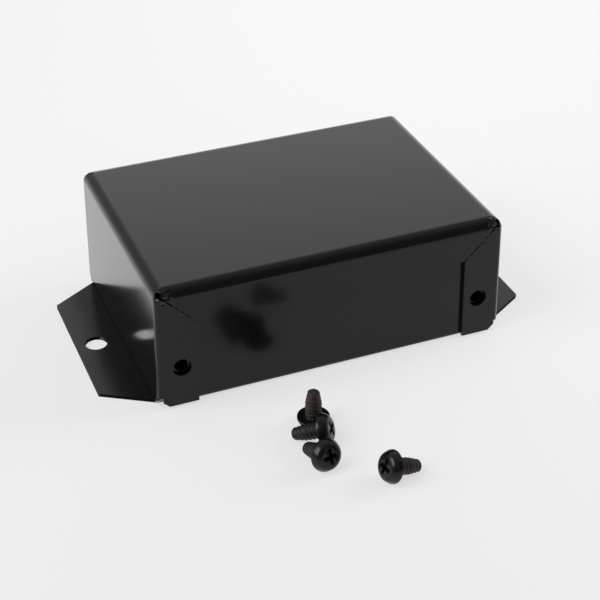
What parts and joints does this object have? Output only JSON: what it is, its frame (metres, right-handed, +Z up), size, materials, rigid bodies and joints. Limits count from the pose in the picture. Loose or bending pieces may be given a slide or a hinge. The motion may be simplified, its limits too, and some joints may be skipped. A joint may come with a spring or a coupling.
{
  "type": "utility enclosure",
  "caption": "Small folded sheet-metal box with a lift-off flanged cover, mounting ears at its ends and its cover screws taken out.",
  "frame": {"origin": "on the underside of the base, midway between the two ear holes", "axes": "+X along the long side through both ears, +Z up out of the mounting surface, -Y the side where the taken-out screws lie"},
  "size_m": [0.0976, 0.0942, 0.0283],
  "materials": {
    "paint": "smooth glossy black enamel on folded aluminium sheet",
    "screw_steel": "black oxide on steel, satin"
  },
  "bodies": {
    "root": {"cover": "paint", "base": "paint", "cover_screw_1": "screw_steel", "cover_screw_2": "screw_steel", "cover_screw_3": "screw_steel", "cover_screw_4": "screw_steel"}
  },
  "joints": []
}
